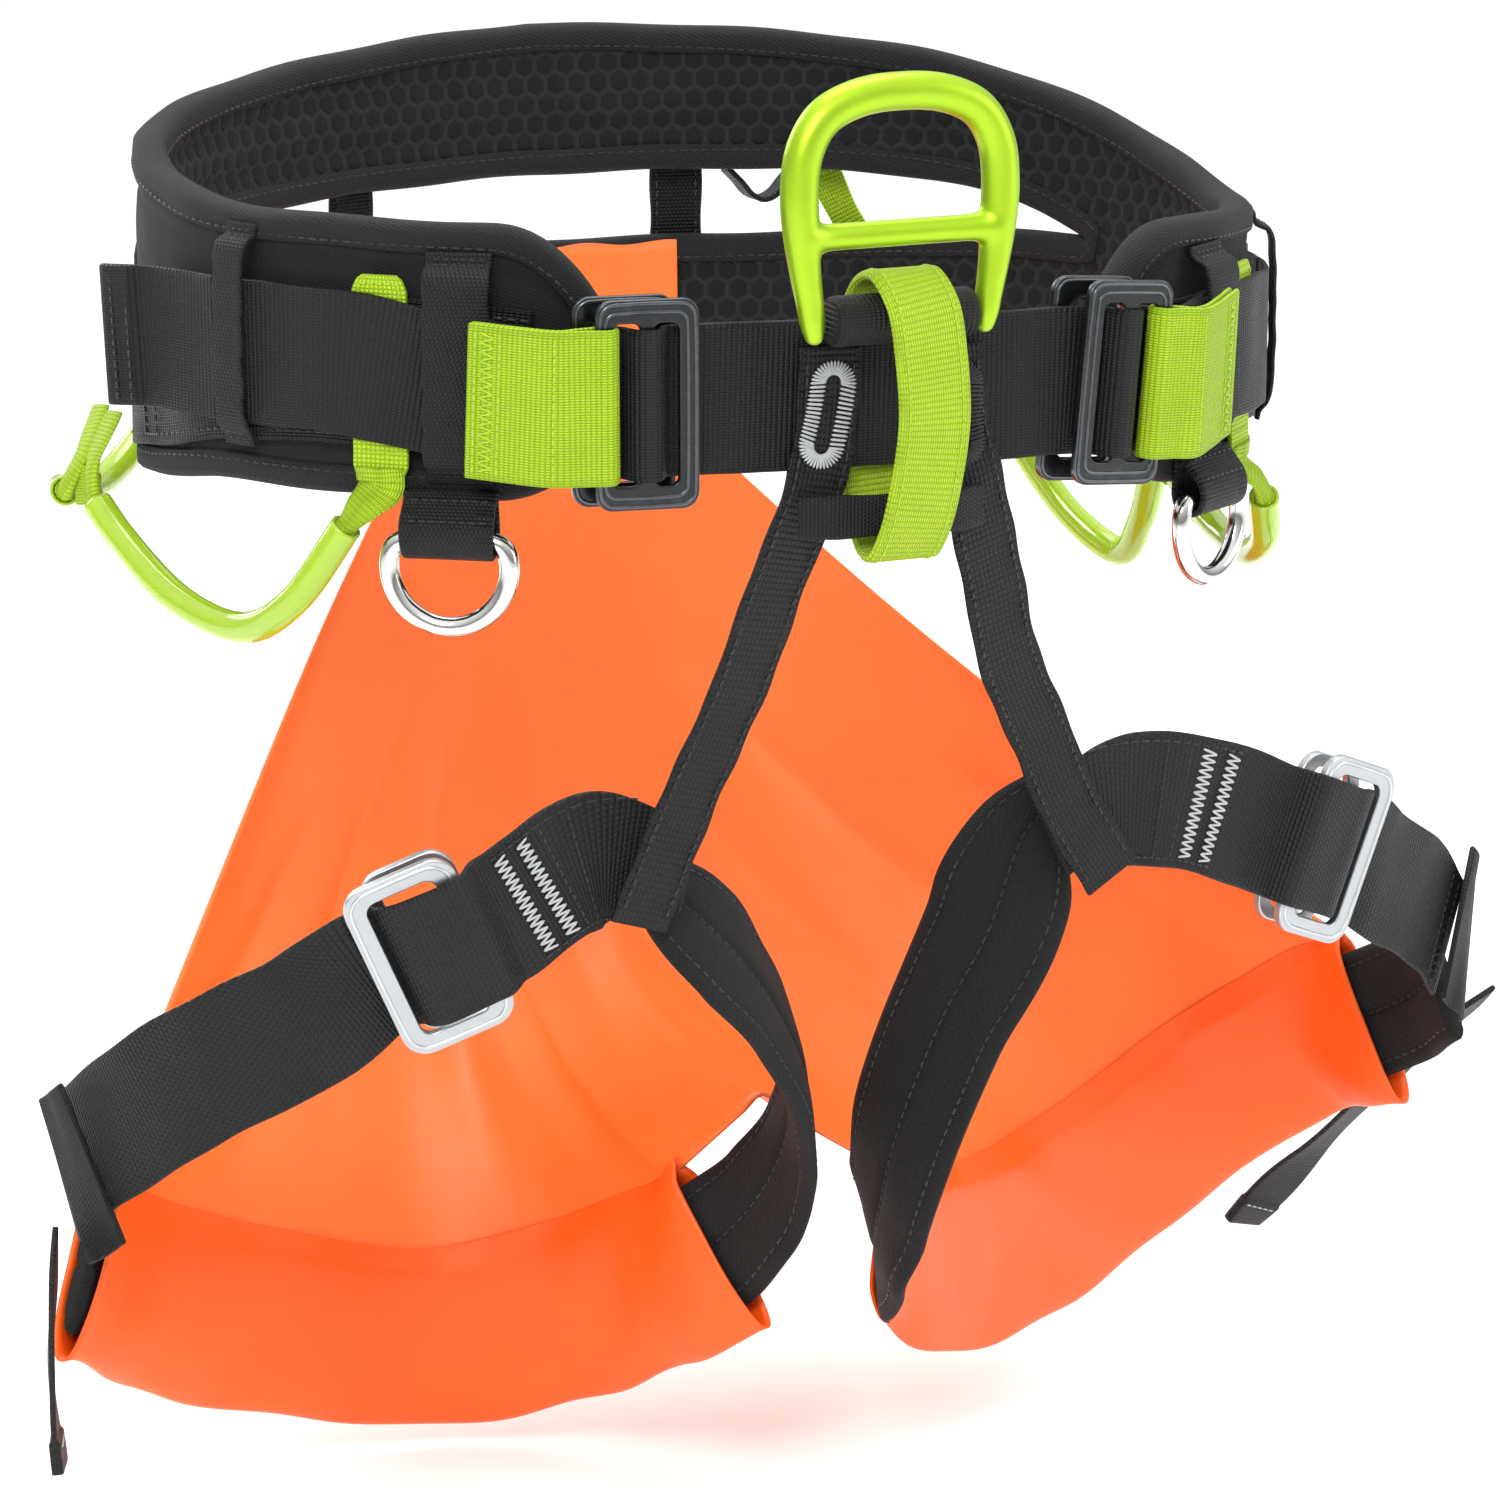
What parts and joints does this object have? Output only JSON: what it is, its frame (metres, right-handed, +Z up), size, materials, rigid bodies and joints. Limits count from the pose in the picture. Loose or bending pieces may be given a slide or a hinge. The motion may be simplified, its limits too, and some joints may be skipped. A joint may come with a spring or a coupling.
{
  "type": "tree climbing saddle",
  "caption": "Padded waist belt with a metal tie-in ring, a belay loop, two adjustable leg loops and a coated seat sheet for tree climbing.",
  "frame": {"origin": "centre of the waist opening, at the height of the belt webbing", "axes": "+Z up, -Y is the saddle's front, +X the viewer's right when facing the front"},
  "size_m": [0.5188, 0.3082, 0.4662],
  "materials": {
    "pad_mesh": "three-dimensional honeycomb mesh",
    "polished_steel": "polished",
    "lime_anodised": "satin anodised",
    "satin_aluminium": "satin",
    "black_anodised": "glossy black anodised",
    "clear_tube": "clear flexible tube",
    "lime_webbing": "woven webbing",
    "orange_coated_fabric": "smooth coated fabric",
    "leg_pad_fabric": "twill weave",
    "black_webbing": "woven webbing"
  },
  "bodies": {
    "saddle": {"waist_pad": "pad_mesh", "load_webbing": "black_webbing", "front_strap": "black_webbing", "left_rear_strap": "black_webbing", "right_rear_strap": "black_webbing", "haul_loop": "black_webbing", "left_buckle_front_plate": "black_anodised", "left_buckle_back_plate": "black_anodised", "left_strap_tail": "black_webbing", "left_front_keeper": "black_webbing", "left_rear_keeper": "black_webbing", "left_ring_hanger": "black_webbing", "left_front_gear_tab": "lime_webbing", "left_side_gear_tab": "lime_webbing", "left_rear_gear_tab": "lime_webbing", "left_riser": "black_webbing", "left_leg_strap": "black_webbing", "left_leg_buckle_back": "satin_aluminium", "left_leg_pad": "leg_pad_fabric", "left_leg_keeper": "black_webbing", "left_seat_sleeve": "orange_coated_fabric", "right_buckle_front_plate": "black_anodised", "right_buckle_back_plate": "black_anodised", "right_strap_tail": "black_webbing", "right_front_keeper": "black_webbing", "right_rear_keeper": "black_webbing", "right_ring_hanger": "black_webbing", "right_front_gear_tab": "lime_webbing", "right_side_gear_tab": "lime_webbing", "right_rear_gear_tab": "lime_webbing", "right_riser": "black_webbing", "right_leg_strap": "black_webbing", "right_leg_buckle_back": "satin_aluminium", "right_leg_pad": "leg_pad_fabric", "right_leg_keeper": "black_webbing", "right_seat_sleeve": "orange_coated_fabric", "tie_in_sleeve": "black_webbing", "leg_bridge": "black_webbing", "seat_sheet": "orange_coated_fabric"},
    "tie_in_ring": {"tie_in_ring": "lime_anodised"},
    "belay_loop": {"belay_loop": "lime_webbing"},
    "left_side_ring": {"left_side_ring": "polished_steel"},
    "right_side_ring": {"right_side_ring": "polished_steel"},
    "left_front_gear_loop": {"left_front_gear_tube": "clear_tube", "left_front_gear_webbing": "lime_webbing"},
    "left_rear_gear_loop": {"left_rear_gear_tube": "clear_tube", "left_rear_gear_webbing": "lime_webbing"},
    "right_front_gear_loop": {"right_front_gear_tube": "clear_tube", "right_front_gear_webbing": "lime_webbing"},
    "right_rear_gear_loop": {"right_rear_gear_tube": "clear_tube", "right_rear_gear_webbing": "lime_webbing"},
    "left_pull_tab": {"left_pull_tab": "lime_webbing"},
    "right_pull_tab": {"right_pull_tab": "lime_webbing"},
    "left_tail_end": {"left_tail_end": "black_webbing"},
    "right_tail_end": {"right_tail_end": "black_webbing"},
    "left_leg_buckle": {"left_leg_buckle": "satin_aluminium"},
    "right_leg_buckle": {"right_leg_buckle": "satin_aluminium"},
    "left_leg_tail": {"left_leg_tail": "black_webbing"},
    "right_leg_tail": {"right_leg_tail": "black_webbing"}
  },
  "joints": [
    {"name": "tie_in_ring_swing", "type": "hinge", "parent": "saddle", "child": "tie_in_ring", "pos_m": [-0.005, -0.1546, 0.024], "axis": [1, 0, 0], "range_deg": [-20, 100]},
    {"name": "belay_loop_shift", "type": "slide", "parent": "saddle", "child": "belay_loop", "axis": [1, 0, 0], "range_m": [-0.003, 0.003]},
    {"name": "left_side_ring_swing", "type": "hinge", "parent": "saddle", "child": "left_side_ring", "pos_m": [-0.12874, -0.10765, -0.041], "axis": [-0.8212, 0.5707, 0], "range_deg": [-30, 80]},
    {"name": "right_side_ring_swing", "type": "hinge", "parent": "saddle", "child": "right_side_ring", "pos_m": [0.12292, -0.1115, -0.0465], "axis": [-0.8458, -0.5335, 0], "range_deg": [-30, 80]},
    {"name": "left_front_gear_loop_lift", "type": "hinge", "parent": "saddle", "child": "left_front_gear_loop", "pos_m": [-0.154, -0.09, -0.038], "axis": [-0.3414, 0.9366, -0.0788], "range_deg": [-6, 45], "stiffness_Nm_per_rad": 0.05},
    {"name": "left_rear_gear_loop_lift", "type": "hinge", "parent": "saddle", "child": "left_rear_gear_loop", "pos_m": [-0.196, 0.038, -0.046], "axis": [0.5859, 0.7838, 0.2059], "range_deg": [-6, 45], "stiffness_Nm_per_rad": 0.05},
    {"name": "right_front_gear_loop_lift", "type": "hinge", "parent": "saddle", "child": "right_front_gear_loop", "pos_m": [0.154, -0.09, -0.054], "axis": [-0.2512, -0.9598, 0.1256], "range_deg": [-6, 45], "stiffness_Nm_per_rad": 0.05},
    {"name": "right_rear_gear_loop_lift", "type": "hinge", "parent": "saddle", "child": "right_rear_gear_loop", "pos_m": [0.184, 0.038, -0.07], "axis": [0.3462, -0.8451, -0.4073], "range_deg": [-6, 45], "stiffness_Nm_per_rad": 0.05},
    {"name": "left_pull_tab_lift", "type": "hinge", "parent": "saddle", "child": "left_pull_tab", "pos_m": [-0.0928, -0.13874, 0.001], "axis": [0.0003, 0.0017, 1], "range_deg": [0, 45]},
    {"name": "right_pull_tab_lift", "type": "hinge", "parent": "saddle", "child": "right_pull_tab", "pos_m": [0.08882, -0.1392, -0.00517], "axis": [-0.0905, -0.0001, -0.9959], "range_deg": [0, 45]},
    {"name": "left_tail_end_lift", "type": "hinge", "parent": "saddle", "child": "left_tail_end", "pos_m": [-0.17635, -0.04551, 0.01012], "axis": [0, 0, 1], "range_deg": [0, 35]},
    {"name": "right_tail_end_lift", "type": "hinge", "parent": "saddle", "child": "right_tail_end", "pos_m": [0.17635, -0.04551, -0.00817], "axis": [0, 0, -1], "range_deg": [0, 35]},
    {"name": "left_leg_buckle_tilt", "type": "hinge", "parent": "saddle", "child": "left_leg_buckle", "pos_m": [-0.1184, -0.09863, -0.16426], "axis": [-0.4262, -0.0399, 0.9037], "range_deg": [0, 12]},
    {"name": "right_leg_buckle_tilt", "type": "hinge", "parent": "saddle", "child": "right_leg_buckle", "pos_m": [0.17022, -0.09279, -0.1658], "axis": [-0.3687, -0.025, -0.9292], "range_deg": [0, 12]},
    {"name": "left_leg_tail_swing", "type": "hinge", "parent": "saddle", "child": "left_leg_tail", "pos_m": [-0.2215, -0.01, -0.268], "axis": [0.3489, 0.9371, 0], "range_deg": [-4, 25]},
    {"name": "right_leg_tail_swing", "type": "hinge", "parent": "saddle", "child": "right_leg_tail", "pos_m": [0.2725, -0.027, -0.246], "axis": [0.7454, -0.2981, 0.5963], "range_deg": [-2, 18]}
  ]
}
